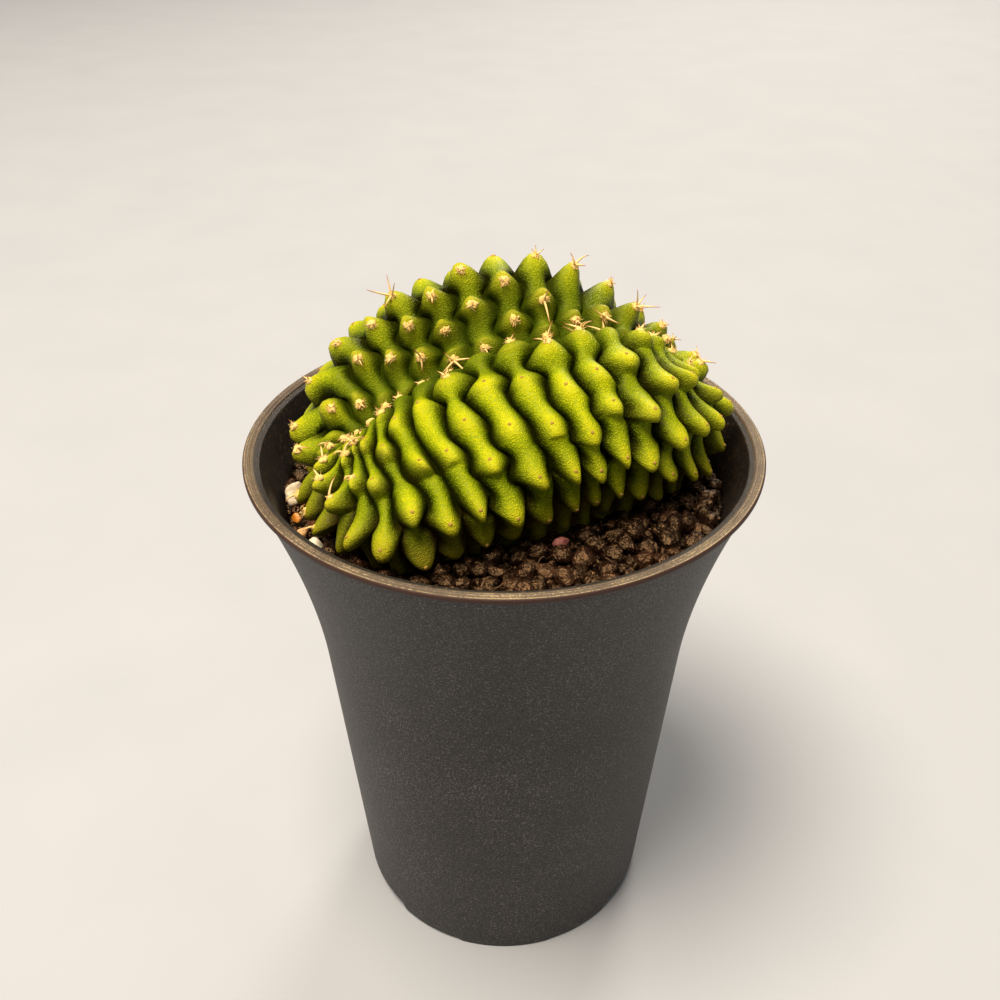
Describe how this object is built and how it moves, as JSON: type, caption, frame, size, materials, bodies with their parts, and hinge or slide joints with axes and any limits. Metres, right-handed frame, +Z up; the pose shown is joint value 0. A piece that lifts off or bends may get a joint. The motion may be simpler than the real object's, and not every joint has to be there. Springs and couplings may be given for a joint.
{
  "type": "potted crested cactus",
  "caption": "Crested, loaf-shaped ribbed cactus with woolly areoles and short spines, growing in coarse dark grit in a small round flared plastic nursery pot.",
  "frame": {"origin": "centre of the pot's foot, on the surface that it stands on", "axes": "+Z up along the pot's axis, -Y towards the low front lobe of the crest, +X to the right end of the crest seen from the front"},
  "size_m": [0.085, 0.085, 0.1302],
  "materials": {
    "pot_plastic": "matt dark grey moulded polypropylene with a fine even grain, worn warmer along the lip",
    "soil": "coarse dark rounded grit with humus, dull with small damp glints",
    "cactus_skin": "living yellow-green skin, waxy and finely granular, with cream wool and horn-coloured spines",
    "cream_stone": "dull cream pebble",
    "tan_stone": "dull tan pebble",
    "amber_grain": "amber grain, slightly glossy",
    "bark": "dull brown bark",
    "pink_chip": "dull pinkish brick chip"
  },
  "bodies": {
    "root": {"pot": "pot_plastic", "soil": "soil", "cactus": "cactus_skin", "pebble_cream_large": "cream_stone", "pebble_cream_small": "cream_stone", "pebble_tan": "tan_stone", "grain_amber": "amber_grain", "chip_bark": "bark", "chip_pink": "pink_chip"}
  },
  "joints": []
}
